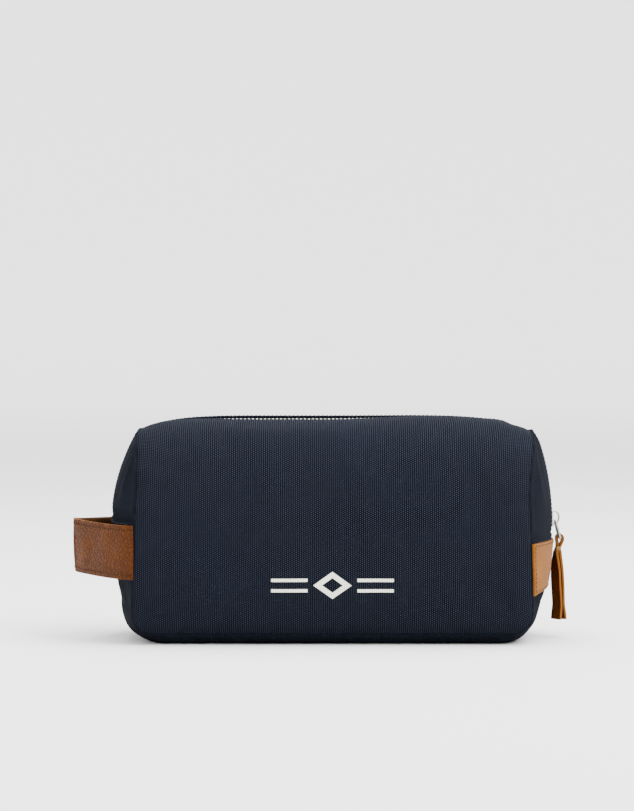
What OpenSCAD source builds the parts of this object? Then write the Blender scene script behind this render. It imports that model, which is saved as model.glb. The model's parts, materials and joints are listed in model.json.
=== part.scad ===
// Soft wash bag: two canvas walls that meet at a zip over the crown, a gusset strip
// round the ends and the base, a leather carry loop, a leather end patch and a
// leather zip puller. Millimetres, +Z up, origin at the centre of the base.

/* [Body] */
// Width of the front panel between its side seams, near the base
panel_w_low = 245; // [205:1:294]
// Width of the front panel between its side seams, at the top
panel_w_top = 237; // [200:1:285]
// Height of the crown above the base
crown_h = 139; // [115:1:167]
// How far the crown falls at its two ends
crown_drop = 8; // [0:0.5:12]
// Depth at the fullest part of the body
belly_d = 108; // [90:1:130]
// Height of the fullest part of the front and rear
belly_z = 52; // [44:1:60]
// Depth of the base between the front and rear seams
base_d = 98; // [84:1:118]
// Height of the bottom seam above the base
seam_h = 6.5; // [4:0.5:9]
// Radius of the lower corners of the front and rear panels
corner_r = 12; // [9:0.5:15]

/* [Ends] */
// How far each end stands out beyond the side seams
end_bulge = 17.5; // [12:0.5:21]
// How far each end still stands out at the top
ear_bulge = 8; // [5:0.5:10]
// Height of the fullest part of the ends
bulge_z = 75; // [68:1:80]
// How far each end draws in above the heel
heel_tuck = 6.5; // [4:0.5:8]
// Height where each end turns under into the base
heel_z = 25; // [21:0.5:29]
// How far inside the panels' lower corners the base starts to turn up
heel_lead = 4; // [2:0.5:7]

/* [Cloth] */
// Thickness of the canvas
canvas_t = 1.2; // [0.8:0.1:1.3]
// Thickness of the lining
lining_t = 0.5; // [0.3:0.1:0.8]
// Distance from the outside of the canvas to the outside of the lining
lining_inset = 2.4; // [2.3:0.1:3]
// Gap left at a seam between pieces that move apart
seam_gap = 0.5; // [0.5:0.05:0.8]
// Thickness of the board in the base
board_t = 1; // [0.6:0.1:1.1]

/* [Zip] */
// Width between the folded canvas edges along the zip
zip_open_w = 11; // [10.4:0.1:14]
// Height of the right end of the zip
zip_end_right = 65; // [64:0.5:67]
// Height of the left end of the zip
zip_end_left = 76; // [75:0.5:80]
// Distance from the outside of the canvas to the middle of the zip chain
chain_inset = 1.9; // [1.8:0.05:2]
// Width of the closed chain
chain_w = 6; // [5:0.1:6]
// Thickness of the chain
chain_t = 2.4; // [2:0.1:2.5]
// Thickness of the zip tape
tape_t = 0.5; // [0.3:0.05:0.5]
// Distance from the centre of the chain to the outer edge of one tape
tape_reach = 9; // [8:0.5:9]
// Length of the slider
slider_l = 11; // [9:0.5:11]
// Width of the slider
slider_w = 9.2; // [8.8:0.1:9.6]
// Thickness of each plate of the slider
plate_t = 1.2; // [0.9:0.1:1.4]
// Clear height under the bridge of the slider
bridge_clear = 2.4; // [2:0.1:3]

/* [Pull] */
// Diameter of the link's wire
link_wire = 1.5; // [1.2:0.1:1.6]
// Clearance between the puller and each side of the link
link_clear = 0.7; // [0.5:0.1:1.2]
// Distance between the link's two bars
link_l = 11; // [10:0.5:13]
// Width of the leather puller
puller_w = 8; // [6:0.1:9.4]
// Length of the leather puller
puller_l = 51; // [40:1:54]
// Thickness of each layer of the puller
puller_t = 2; // [1.6:0.1:2]

/* [Leather] */
// Width of the leather used for the carry loop
loop_w = 33; // [26:0.5:34]
// Height of the lower edge of the carry loop
loop_z = 39.5; // [34:0.5:41]
// How far the carry loop stands out beyond the side seam
loop_reach = 41; // [36:0.5:48]
// Radius of the carry loop's outer fold
loop_fold_r = 12; // [9:0.5:14]
// Thickness of the carry loop's outer leather
loop_t = 1.5; // [1:0.1:1.8]
// Thickness of the carry loop's backing leather
backing_t = 1.1; // [0.8:0.1:1.4]
// Height of the end patch
patch_h = 32; // [26:0.5:33]
// Height of the lower edge of the end patch
patch_z = 30; // [27:0.5:31]
// Thickness of the end patch
patch_t = 1.3; // [1:0.1:1.4]

/* [Pocket] */
// Width of the slip pocket
pocket_w = 150; // [110:1:180]
// Height of the slip pocket
pocket_h = 68; // [50:1:75]
// Height of the lower edge of the slip pocket
pocket_z = 16; // [12:1:18]
// Thickness of the slip pocket
pocket_t = 0.5; // [0.3:0.1:0.8]

/* [Hidden] */
$fn = 64;

// Derived sizes
end_h = crown_h - crown_drop;
belly = belly_d / 2;
base_half = base_d / 2;
zip_edge = zip_open_w / 2;
low_x = panel_w_low / 2;
top_x = panel_w_top / 2;
corner_z = seam_h + corner_r;
corner_x = seam_x(corner_z) - corner_r;
wide_x = seam_x(bulge_z) + end_bulge;
ear_x = seam_x(end_h) + ear_bulge;
arc_in = wide_x - ear_x;
arc_up = end_h - bulge_z;
arc_r = (arc_in * arc_in + arc_up * arc_up) / (2 * arc_in);
base_end = corner_x - heel_lead;
heel_x = mid_x(heel_z) - base_end;
flat_share = 0.78;
roundness = 0.74;
half_chain = chain_w / 2;
tooth_gap = 0.8;
channel = chain_t / 2 + 0.25;
patch_lift = 0.1;
slot_clear = 0.5;
thread_t = 0.45;

// Colours
navy = [0.12, 0.14, 0.2];
navy_dark = [0.09, 0.1, 0.15];
lining_colour = [0.35, 0.36, 0.38];
black = [0.06, 0.06, 0.07];
silver = [0.75, 0.75, 0.73];
tan = [0.62, 0.38, 0.18];
tan_light = [0.76, 0.55, 0.32];
board_colour = [0.2, 0.2, 0.2];

function lerp(a, b, t) = a + (b - a) * t;

// Side seam of the panels at height z
function seam_x(z) = lerp(low_x, top_x, (z - seam_h) / (end_h - seam_h));

// Middle of an end at height z: an arc above its fullest part, a gentle tuck below
function mid_x(z) = z >= bulge_z
    ? wide_x - arc_r + sqrt(arc_r * arc_r - pow(z - bulge_z, 2))
    : wide_x - heel_tuck * pow((bulge_z - z) / (bulge_z - heel_z), 2);

// Half depth of the body at height z, inset i from the outside
function half_depth(z, i) = z <= belly_z
    ? belly - i - (belly - base_half) * pow((belly_z - z) / (belly_z - seam_h), 2)
    : (belly - i) * pow(sqrt(1 - pow(arch_sin(z, i), 2)), roundness);
function arch_sin(z, i) = min(1, pow((z - belly_z) / (end_h - i - belly_z), 1 / roundness));
function arch_angle(z, i) = asin(arch_sin(z, i));
function arch_z(u, i) = belly_z + (end_h - i - belly_z) * pow(sin(u), roundness);
// Arch angle where the half depth has come down to y
function angle_at_depth(y, i) = acos(pow(y / (belly - i), 1 / roundness));

// Crown height across the body, c from -1 at the left seam to 1 at the right seam
function crown(c) = crown_h - crown_drop * pow(max(0, (abs(c) - 0.3) / 0.7), 3.3);
// Height of the top surface at depth y
function top_z(c, y, i) = belly_z
    + (crown(c) - i - belly_z) * pow(sqrt(1 - pow(y / (belly - i), 2 / roundness)), roundness);
// Outside of an end at height z and depth y
function end_x(z, y, i) = lerp(seam_x(z), mid_x(z), 1 - pow(min(1, y / half_depth(z, i)), 2)) - i;

// Closed skin between two grids of points with the same rows and columns
module skin(outer, inner) {
    rows = len(outer);
    cols = len(outer[0]);
    points = concat([for (r = outer) each r], [for (r = inner) each r]);
    low = rows * cols;
    quads = [
        for (r = [0 : rows - 2]) for (c = [0 : cols - 2])
            each cell(r * cols + c, r * cols + c + 1, (r + 1) * cols + c + 1, (r + 1) * cols + c),
        for (r = [0 : rows - 2]) for (c = [0 : cols - 2])
            each cell(low + (r + 1) * cols + c, low + (r + 1) * cols + c + 1,
                low + r * cols + c + 1, low + r * cols + c),
        for (c = [0 : cols - 2]) each cell(c + 1, c, low + c, low + c + 1),
        for (c = [0 : cols - 2]) each cell((rows - 1) * cols + c, (rows - 1) * cols + c + 1,
            low + (rows - 1) * cols + c + 1, low + (rows - 1) * cols + c),
        for (r = [0 : rows - 2]) each cell(r * cols, (r + 1) * cols,
            low + (r + 1) * cols, low + r * cols),
        for (r = [0 : rows - 2]) each cell((r + 1) * cols + cols - 1, r * cols + cols - 1,
            low + r * cols + cols - 1, low + (r + 1) * cols + cols - 1),
    ];
    polyhedron(points, quads, convexity = 6);
}
function cell(a, b, c, d) = [[a, b, c], [a, c, d]];

// Front or rear wall, folded over the crown to the zip
module wall(i, t) {
    skin(wall_grid(i), wall_grid(i + t));
}
// Rows of a wall as [height, half width]: round the lower corner, up the side, over the arch
function wall_rows(i) = let (r = corner_r - seam_gap - i) concat(
    [for (a = [0 : 30 : 90])
        [a == 0 ? seam_h + seam_gap : corner_z - r * cos(a), corner_x + r * sin(a)]],
    [for (z = [(corner_z + belly_z) / 2, belly_z]) [z, seam_x(z) - i - seam_gap]],
    [for (k = [0.35, 0.7, 1, 2, 3, 4, 5, 6, 7, 8]) let (z = arch_z(angle_at_depth(zip_edge, i) * k / 8, i))
        [z, seam_x(z) - i - seam_gap]]);
function wall_grid(i) = [for (row = wall_rows(i)) [for (k = [-7 : 7])
    wall_point(k / 7, row[0], row[1], i)]];
function wall_point(c, z, half_w, i) = [
    c * half_w,
    -half_depth(z, i),
    z <= belly_z ? z : lerp(belly_z, crown(c) - i, (z - belly_z) / (end_h - i - belly_z)),
];

// Share of the bulge at v, from 0 at the seams to 1 where the cloth runs flat
function bulge_share(v, flat) = 1 - pow(max(0, (abs(v) - flat) / (1 - flat)), 2);
cross = [-1, -0.93, -0.86, -0.78, -0.55, -0.3, 0, 0.3, 0.55, 0.78, 0.86, 0.93, 1];

// Lower end of the gusset strip: from the base round the heel and up to z_top
module end_strip(i, t, z_top) {
    skin(end_grid(i, z_top), end_grid(i + t, z_top));
}
function end_grid(i, z_top) = concat(
    [strip_row([base_end, base_half - i, seam_h], [base_end, i], flat_share)],
    [for (k = [1 : 4]) strip_row(
        [corner_x + (corner_r - i) * sin((k - 1) * 30),
            half_depth(corner_z - corner_r * cos((k - 1) * 30), i),
            corner_z - (k == 1 ? corner_r : (corner_r - i) * cos((k - 1) * 30))],
        [base_end + (heel_x - i) * sin(k * 22.5), heel_z - (heel_z - i) * cos(k * 22.5)],
        flat_share * (1 - k / 4))],
    [for (k = [1 : 4]) side_row(lerp(corner_z, z_top, k / 4), i)]);
function side_row(z, i) = strip_row([seam_x(z) - i, half_depth(z, i), z],
    [mid_x(side_mid_z(z)) - i, side_mid_z(z)], 0);
function side_mid_z(z) = z + (heel_z - corner_z) * max(0, 1 - (z - corner_z) / (belly_z - corner_z));
function strip_row(seam, mid, flat) = [for (v = cross) [
    lerp(seam[0], mid[0], bulge_share(v, flat)),
    v * seam[1],
    lerp(seam[2], mid[1], bulge_share(v, flat)),
]];

// Base of the gusset strip
module base_shell(i, t) {
    rim = [for (v = cross) [v * (base_half - i), lerp(seam_h, i, bulge_share(v, flat_share))]];
    inside = [for (k = [len(cross) - 1 : -1 : 0]) let (v = cross[k])
        [v * (base_half - i - t), lerp(seam_h, i + t, bulge_share(v, flat_share))]];
    rotate([90, 0, 90])
        linear_extrude(height = 2 * base_end, center = true)
            polygon(concat(rim, inside));
}

// One half of an end above the end of the zip, on the right and to the front
module flap(i, t, z_low) {
    skin(flap_grid(i, z_low, zip_edge), flap_grid(i + t, z_low, zip_edge));
}
function flap_rows(i, z_low, stop) = let (a = arch_angle(z_low, i), b = angle_at_depth(stop, i))
    [for (k = [0 : 6]) arch_z(lerp(a, b, k / 6), i)];
function flap_grid(i, z_low, edge) = [for (z = flap_rows(i, z_low, edge + 1.5))
    [for (k = [0 : 4]) let (y = lerp(edge, half_depth(z, i), k / 4)) [end_x(z, y, i), -y, z]]];

// Path of the zip at depth y and inset i, up the right end, over the crown, down the left.
// The chain is flat across, and sag is how far the path has bent away from it at depth y.
function zip_path(y, i, right_z, left_z) = let (last = arch_z(angle_at_depth(y + 1, i), i)) concat(
    [for (k = [0 : 8]) let (z = lerp(right_z, last, k / 8)) [chain_x(z, i) - sag(z, y, i), -y, z]],
    [for (k = [10 : -1 : -10]) [k / 10 * (top_x - i), -y, top_z(k / 10, y, i)]],
    [for (k = [8 : -1 : 0]) let (z = lerp(left_z, last, k / 8)) [sag(z, y, i) - chain_x(z, i), -y, z]]);
function chain_x(z, i) = z >= bulge_z
    ? wide_x - arc_r + sqrt(pow(arc_r - i, 2) - pow(z - bulge_z, 2))
    : mid_x(z) - i;
function sag(z, y, i) = y <= half_chain ? 0 : mid_x(z) - i - end_x(z, y, i);

// Bar along the zip path, from depth y1 to depth y2 and from inset i to i + t
module zip_bar(y1, y2, i, t, right_z, left_z) {
    rings = [
        zip_path(y1, i, right_z, left_z),
        zip_path(y2, i, right_z, left_z),
        zip_path(y2, i + t, right_z, left_z),
        zip_path(y1, i + t, right_z, left_z),
    ];
    skin([rings[0], rings[1]], [rings[3], rings[2]]);
}

module mirror_left(on) {
    mirror([on ? 1 : 0, 0, 0]) children();
}
module to_rear() {
    mirror([0, 1, 0]) children();
}

module base_panel() {
    color(navy_dark) base_shell(0, canvas_t);
}
module base_board() {
    margin = 3;
    half = base_half * flat_share - margin;
    color(board_colour)
        translate([0, 0, canvas_t + 0.1])
            linear_extrude(height = board_t)
                square([2 * (base_end - margin), 2 * half], center = true);
}
module base_lining() {
    color(lining_colour) base_shell(lining_inset, lining_t);
}
module end_panel(left) {
    z_top = (left ? zip_end_left : zip_end_right) - seam_gap;
    color(navy_dark) mirror_left(left) end_strip(0, canvas_t, z_top);
}
module end_lining(left) {
    z_top = (left ? zip_end_left : zip_end_right) - seam_gap;
    color(lining_colour) mirror_left(left) end_strip(lining_inset, lining_t, z_top);
}
module left_end_panel() end_panel(true);
module right_end_panel() end_panel(false);
module left_end_lining() end_lining(true);
module right_end_lining() end_lining(false);

// Carry loop, seen from above: a round fold and two legs that run to the side seams
loop_out = 3.4;
loop_mid_z = loop_z + loop_w / 2;
loop_fold_x = -(seam_x(loop_mid_z) + loop_reach - loop_fold_r);
loop_root = [-(seam_x(loop_mid_z) + loop_out), half_depth(loop_mid_z, 0) - 1.6];
loop_dx = loop_root[0] - loop_fold_x;
loop_span = sqrt(loop_dx * loop_dx + loop_root[1] * loop_root[1]);
loop_run = sqrt(loop_span * loop_span - loop_fold_r * loop_fold_r);
loop_lean = atan2(loop_root[1], loop_dx) - asin(loop_fold_r / loop_span);
backing_short = 8;
// One layer of leather, t thick, outside radius r at the fold, with legs of length run
module loop_layer(r, t, run) {
    translate([loop_fold_x, 0, loop_z])
        linear_extrude(height = loop_w)
            polygon(concat(loop_line(r + t, run, 1), loop_line(r, run, -1)));
}
// Line of the loop at radius q, from one leg's end round the fold to the other's
function loop_line(q, run, s) = concat(
    [on_leg(q, run, s)],
    [for (k = [0 : 24]) let (a = 180 - s * (90 - loop_lean) * (1 - k / 12)) q * [cos(a), sin(a)]],
    [on_leg(q, run, -s)]);
// Point of the plan at distance d along a leg, on the line that leaves the fold at radius q
function on_leg(q, d, s) = [
    d * cos(loop_lean) - q * sin(loop_lean),
    s * (d * sin(loop_lean) + q * cos(loop_lean)),
];
module carry_loop() {
    color(tan) loop_layer(loop_fold_r - loop_t, loop_t, loop_run);
}
module carry_loop_backing() {
    color(tan_light)
        loop_layer(loop_fold_r - loop_t - backing_t, backing_t, loop_run - backing_short);
}
module end_patch() {
    color(tan_light) skin(patch_grid(-patch_t - patch_lift), patch_grid(-patch_lift));
}
function patch_grid(i) = [for (k = [0 : 4]) patch_row(side_row(patch_z + patch_h * k / 4, i))];
function patch_row(row) = let (last = len(row) - 1) concat(
    [lerp(row[1], row[0], 0.8)], [for (k = [1 : last - 1]) row[k]], [lerp(row[last - 1], row[last], 0.8)]);

module front_panel() {
    color(navy) wall(0, canvas_t);
}
module front_lining() {
    color(lining_colour) wall(lining_inset, lining_t);
}
module flap_piece(left) {
    z_low = left ? zip_end_left : zip_end_right;
    color(navy_dark) mirror_left(left) flap(0, canvas_t, z_low);
}
module flap_lining(left) {
    z_low = left ? zip_end_left : zip_end_right;
    edge = tape_reach + 0.5;
    color(lining_colour) mirror_left(left)
        skin(flap_grid(lining_inset, z_low, edge), flap_grid(lining_inset + lining_t, z_low, edge));
}
module zip_tape() {
    color(black) zip_bar(half_chain, tape_reach, chain_inset - tape_t / 2, tape_t,
        zip_end_right + 0.3, zip_end_left + 0.3);
}
module zip_teeth() {
    color(silver) zip_bar(tooth_gap, half_chain, chain_inset - chain_t / 2, chain_t,
        bulge_z + slider_l / 2 + 1.5, zip_end_left + 1.5);
}
module zip_stop() {
    size = [chain_t, half_chain - tooth_gap, 2];
    color(silver)
        translate([mid_x(zip_end_right) - chain_inset - size[0] / 2, -half_chain, zip_end_right + 0.4])
            cube(size);
}
module left_front_flap() flap_piece(true);
module right_front_flap() flap_piece(false);
module left_front_flap_lining() flap_lining(true);
module right_front_flap_lining() flap_lining(false);
module front_zip_tape() zip_tape();
module front_zip_teeth() zip_teeth();
module front_zip_stop() zip_stop();

module rear_panel() to_rear() front_panel();
module rear_lining() to_rear() front_lining();
module left_rear_flap() to_rear() flap_piece(true);
module right_rear_flap() to_rear() flap_piece(false);
module left_rear_flap_lining() to_rear() flap_lining(true);
module right_rear_flap_lining() to_rear() flap_lining(false);
module rear_zip_tape() to_rear() zip_tape();
module rear_zip_teeth() to_rear() zip_teeth();
module rear_zip_stop() to_rear() zip_stop();

// Slip pocket on the rear lining: sewn down at its sides and lower edge, open at the top
module slip_pocket() {
    inside = lining_inset + lining_t + 0.1;
    color(lining_colour) to_rear() skin(pocket_grid(inside), pocket_grid(inside + pocket_t));
}
function pocket_grid(i) = [for (r = [0 : 5]) [for (c = [-5 : 5])
    let (z = pocket_z + pocket_h * r / 5, slack = 1.5 * min(1, r) * (abs(c) == 5 ? 0 : 1))
        [pocket_w / 2 * c / 5, -half_depth(z, i + slack), z]]];

// Slider: it rides on the arc of the right end, x outward, z along the chain
module on_chain() {
    translate([wide_x - chain_inset, 0, bulge_z]) children();
}
module zip_slider() {
    slot = tape_t / 2 + slot_clear;
    flange = 0.9;
    web_l = 3;
    bridge_w = 3;
    bridge_t = 1.2;
    bridge_l = 9;
    color(silver) on_chain() {
        for (s = [-1, 1])
            translate([s > 0 ? channel : -channel - plate_t, 0, 0])
                rotate([0, 90, 0])
                    linear_extrude(height = plate_t) slider_plan();
        for (s = [-1, 1]) for (side = [-1, 1])
            translate([s * (slot + channel) / 2, side * (slider_w - flange) / 2, 0])
                cube([channel - slot, flange, slider_l - 4], center = true);
        translate([-channel, -0.45, -slider_l / 2 + 0.5])
            cube([2 * channel, 0.9, web_l]);
        translate([channel + plate_t, -bridge_w / 2, 0])
            rotate([90, 0, 0])
                mirror([0, 0, 1])
                    linear_extrude(height = bridge_w)
                        difference() {
                            bridge_side(bridge_l / 2, bridge_clear + bridge_t);
                            bridge_side(bridge_l / 2 - bridge_t, bridge_clear);
                        }
    }
}
// Plan of a slider plate, narrower at the end that faces the closed chain
module slider_plan() {
    half = slider_w / 2;
    long = slider_l / 2;
    polygon([[-long, -half + 1.4], [-long + 1.4, -half], [long - 1.4, -half], [long, -half + 1.4],
        [long, half - 1.4], [long - 1.4, half], [-long + 1.4, half], [-long, half - 1.4]]);
}
// Side view of the bridge, chamfered where it turns
module bridge_side(half, rise) {
    cut = min(1, rise / 2);
    polygon([[0, -half], [rise - cut, -half], [rise, -half + cut],
        [rise, half - cut], [rise - cut, half], [0, half]]);
}

// Link: a wire ring through the bridge, hanging down and slightly outward, so that the
// puller on it hangs clear of the patch
link_r = link_wire / 2;
fold_clear = 0.15;
rest_clear = 0.35;
fold_in = link_r + fold_clear;
fold_out = fold_in + puller_t;
link_pivot = [wide_x - chain_inset + channel + plate_t + bridge_clear / 2, bulge_z - 2.2];
puller_x = wide_x + patch_lift + patch_t + rest_clear + fold_out;
link_lean = asin((puller_x - link_pivot[0]) / link_l);
puller_pivot = [puller_x, link_pivot[1] - link_l * cos(link_lean)];
module pull_link() {
    bend = link_r + 0.55;
    half = puller_w / 2 + link_clear + link_r;
    color(silver)
        translate([link_pivot[0], 0, link_pivot[1]])
            rotate([0, -link_lean, 0])
                translate([0, 0, -link_l / 2]) {
                    for (s = [-1, 1]) {
                        translate([0, -half + bend, s * link_l / 2])
                            rotate([-90, 0, 0]) cylinder(r = link_r, h = 2 * (half - bend));
                        translate([0, s * half, -link_l / 2 + bend])
                            cylinder(r = link_r, h = link_l - 2 * bend);
                        for (q = [-1, 1])
                            translate([0, s * (half - bend), q * (link_l / 2 - bend)])
                                rotate([q * s > 0 ? 0 : (q > 0 ? 90 : -90), 0, 0])
                                    rotate([s > 0 && q > 0 ? 0 : (s < 0 && q < 0 ? 180 : 0), 0, 0])
                                        rotate([0, 90, 0]) rotate([0, 0, 90])
                                            rotate_extrude(angle = 90)
                                                translate([bend, 0]) circle(link_r);
                    }
                }
}

// Puller: a strip folded through the link, its two layers sewn together below it
puller_gap = 0.4;
module puller_at() {
    translate([puller_pivot[0], 0, puller_pivot[1]]) children();
}
module leather_puller() {
    neck = fold_out + 1;
    color(tan) puller_at() rotate([90, 0, 0])
        linear_extrude(height = puller_w, center = true) {
            difference() {
                union() {
                    circle(fold_out);
                    translate([-fold_out, -neck]) square([2 * fold_out, neck]);
                }
                circle(fold_in);
            }
            for (s = [-1, 1])
                translate([s > 0 ? puller_gap / 2 : -puller_gap / 2 - puller_t, -puller_l])
                    square([puller_t, puller_l - neck]);
        }
}
module puller_stitch() {
    half = puller_gap / 2 + puller_t;
    color(tan_light) puller_at()
        translate([0, 0, -fold_out - 3])
            difference() {
                cube([2 * (half + thread_t), puller_w + 2 * thread_t, 1.2], center = true);
                cube([2 * half, puller_w, 2], center = true);
            }
}

base_panel();
base_board();
base_lining();
left_end_panel();
right_end_panel();
left_end_lining();
right_end_lining();
carry_loop();
carry_loop_backing();
end_patch();
front_panel();
front_lining();
left_front_flap();
right_front_flap();
left_front_flap_lining();
right_front_flap_lining();
front_zip_tape();
front_zip_teeth();
front_zip_stop();
rear_panel();
rear_lining();
left_rear_flap();
right_rear_flap();
left_rear_flap_lining();
right_rear_flap_lining();
rear_zip_tape();
rear_zip_teeth();
rear_zip_stop();
slip_pocket();
zip_slider();
pull_link();
leather_puller();
puller_stitch();
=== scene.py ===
# Shaving kit bag in canvas and leather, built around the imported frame.
import json
import math
import bmesh
import bpy
import numpy as np
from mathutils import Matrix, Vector


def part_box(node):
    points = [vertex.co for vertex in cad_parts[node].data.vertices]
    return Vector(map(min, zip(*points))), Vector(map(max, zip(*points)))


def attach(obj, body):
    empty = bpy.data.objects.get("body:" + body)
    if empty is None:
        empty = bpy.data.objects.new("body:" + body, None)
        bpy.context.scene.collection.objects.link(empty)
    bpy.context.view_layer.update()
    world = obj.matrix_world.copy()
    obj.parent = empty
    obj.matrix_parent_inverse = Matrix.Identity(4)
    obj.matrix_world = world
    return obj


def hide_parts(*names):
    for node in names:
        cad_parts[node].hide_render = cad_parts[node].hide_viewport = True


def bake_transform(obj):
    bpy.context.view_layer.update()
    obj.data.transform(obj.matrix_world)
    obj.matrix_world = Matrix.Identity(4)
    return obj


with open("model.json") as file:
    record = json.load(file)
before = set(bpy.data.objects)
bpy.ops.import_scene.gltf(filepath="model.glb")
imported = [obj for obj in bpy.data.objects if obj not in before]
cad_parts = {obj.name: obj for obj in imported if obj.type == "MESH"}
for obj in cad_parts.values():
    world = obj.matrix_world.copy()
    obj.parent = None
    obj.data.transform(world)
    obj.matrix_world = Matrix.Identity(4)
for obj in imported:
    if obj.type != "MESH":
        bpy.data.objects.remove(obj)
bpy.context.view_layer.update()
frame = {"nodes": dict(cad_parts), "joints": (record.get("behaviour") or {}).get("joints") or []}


# ---- sizes, in millimetres, from the frame where it has them ----

def mm(node):
    """Lowest and highest corners of a node."""
    lo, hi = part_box(node)
    return np.array(lo) * 1000, np.array(hi) * 1000


wall_lo, wall_hi = mm("front_panel")
end_hi = mm("right_end_panel")[1]
left_hi = mm("left_end_panel")[1]
loop_lo, loop_hi = mm("carry_loop")
slide_lo, slide_hi = mm("zip_slider")
pull_lo, pull_hi = mm("leather_puller")
pocket_lo, pocket_hi = mm("slip_pocket")

CROWN = wall_hi[2]  # top of the crown
DROP = 8.0  # how far the crown falls at its ends
END_H = CROWN - DROP
BELLY = -wall_lo[1]  # half of the fullest depth
BELLY_Z = 52.0  # height of the fullest depth
BASE_HALF = 49.0  # half of the depth at the bottom seam
SEAM_H = 6.5  # height of the bottom seam
CORNER_R = 12.0  # lower corners of the front and rear panels
ZIP_EDGE = 5.5  # half of the gap between the folded edges
LOW_X, TOP_X = 122.5, 118.5  # side seam, low and high
BULGE_Z = (slide_lo[2] + slide_hi[2]) / 2
WIDE_X = end_hi[0]  # how far the ends reach, at BULGE_Z
ZIP_LOW = {1: end_hi[2] + 0.5, -1: left_hi[2] + 0.5}
HEEL_Z, HEEL_TUCK, HEEL_LEAD = 25.0, 6.5, 4.0  # where an end turns under to the base
INSET = 1.9  # outside of the canvas to the middle of the chain
ROUND = 0.74  # power of the walls' arch: 1 is an ellipse, less is squarer
FLAT = 0.78  # share of the base's depth that lies flat
MIDDLE = np.array([0, 0, 60.0])  # a point inside the bag
STRIP_HALF = 52.0  # half of the gusset's width
DIP_Z, DIP_RISE = 122.0, 8.0  # the folds over the crown part from this height up
CANVAS_T, GUSSET_T, LINING_T, TAPE_T = 0.7, 0.8, 0.4, 0.45
LINING_IN = 2.3  # outside of the canvas to the lining
LOOP_T, BACKING_T, PATCH_T, PULLER_T = 1.5, 1.05, 1.3, 1.75
EDGE_ROUND = 0.0003  # metres, on the leather's cut edges
FACES = ((-1, "front"), (1, "rear"))
ENDS = ((-1, "left"), (1, "right"))


def seam_x(z):
    """Distance of the side seams from the middle."""
    return LOW_X + (TOP_X - LOW_X) * (z - SEAM_H) / (END_H - SEAM_H)


def seam_out(z, sign):
    """How far the side seam leans out towards the ear."""
    z = np.asarray(z, float)
    return np.where(np.asarray(sign) > 0, 5.6 * smooth((z - 88) / 44), 2.0 * smooth((z - 108) / 22))


def smooth(t):
    t = np.clip(t, 0, 1)
    return t * t * (3 - 2 * t)


EAR_X = seam_x(END_H) + 8.0
ARC_IN, ARC_UP = WIDE_X - EAR_X, END_H - BULGE_Z
ARC_R = (ARC_IN ** 2 + ARC_UP ** 2) / (2 * ARC_IN)
CORNER_Z = SEAM_H + CORNER_R
CORNER_X = seam_x(CORNER_Z) - CORNER_R
BASE_END = CORNER_X - HEEL_LEAD


def mid_x(z):
    """How far the middle of an end reaches."""
    z = np.asarray(z, float)
    up = WIDE_X - ARC_R + np.sqrt(np.maximum(ARC_R ** 2 - (z - BULGE_Z) ** 2, 0))
    low = WIDE_X - HEEL_TUCK * ((BULGE_Z - z) / (BULGE_Z - HEEL_Z)) ** 2
    return np.where(z >= BULGE_Z, up, low)


def end_mid(z, sign):
    """Middle of an end, drawn in where it runs up to its ear."""
    z = np.asarray(z, float)
    left = 5.6 * np.clip((z - 82) / 49, 0, 1) ** 1.6
    return mid_x(z) - np.where(np.asarray(sign) > 0, 1.3 * smooth((z - 122) / 9), left)


def half_depth(z):
    """How far the front and rear walls reach."""
    z = np.asarray(z, float)
    low = BELLY - (BELLY - BASE_HALF) * ((BELLY_Z - z) / (BELLY_Z - SEAM_H)) ** 2
    s = np.clip((z - BELLY_Z) / (END_H - BELLY_Z), 0, 1) ** (1 / ROUND)
    return np.where(z <= BELLY_Z, low, BELLY * np.sqrt(np.maximum(1 - s * s, 0)) ** ROUND)


def arch_z(u):
    return BELLY_Z + (END_H - BELLY_Z) * np.sin(u) ** ROUND


def crown(c):
    """Height of the crown at share c along it."""
    c = np.abs(c)
    return CROWN - DROP * np.maximum(0, (c - 0.3) / 0.7) ** 3.8


def crown_dip(z, c):
    """How much a point dips with the folds over the middle of the crown; c is its share along."""
    return smooth((z - DIP_Z) / DIP_RISE) * np.exp(-((c + 0.2) / 0.5) ** 4)


HEEL_X = float(mid_x(HEEL_Z)) - BASE_END
ARCH_END = math.acos((ZIP_EDGE / BELLY) ** (1 / ROUND))


# ---- small helpers ----

def mix(a, b, t):
    return a + (b - a) * t


def unit(a):
    return a / np.maximum(np.linalg.norm(a, axis=-1, keepdims=True), 1e-12)


def waves(s, length, seed, n=6):
    """Seeded smooth wave along s, about -1 to 1, with features of that length."""
    r = np.random.default_rng(seed)
    out = 0
    for _ in range(n):
        out = out + np.sin(2 * np.pi * s / (length * r.uniform(0.6, 1.8)) + r.uniform(0, 6.28))
    return out / (0.8 * n ** 0.5 * 1.6)


def waves2(x, y, length, seed, n=9, lean=None):
    r = np.random.default_rng(seed)
    out = 0
    for _ in range(n):
        a = r.uniform(0, np.pi) if lean is None else lean + r.normal(0, 0.35)
        k = 2 * np.pi / (length * r.uniform(0.7, 1.8))
        out = out + np.sin(k * (x * np.cos(a) + y * np.sin(a)) + r.uniform(0, 6.28))
    return out / (0.8 * n ** 0.5 * 1.6)


def normals(P):
    return unit(np.cross(np.gradient(P, axis=1), np.gradient(P, axis=0)))


def sample(x, xs, A):
    """The rows of A at x, where its own rows lie at xs."""
    return np.stack([np.interp(x, xs, A[:, k]) for k in range(A.shape[1])], -1)


def run_length(P):
    """Length along a row of points, up to each of them."""
    return np.concatenate([[0], np.cumsum(np.linalg.norm(np.diff(P, axis=0), axis=1))])


def outward(A, B):
    """The two faces of a strip of leather, turned so that the normals of A point away from B."""
    flip = (normals(A) * (A - B)).sum(2).mean() < 0
    return (A[:, ::-1], B[:, ::-1]) if flip else (A, B)


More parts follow.
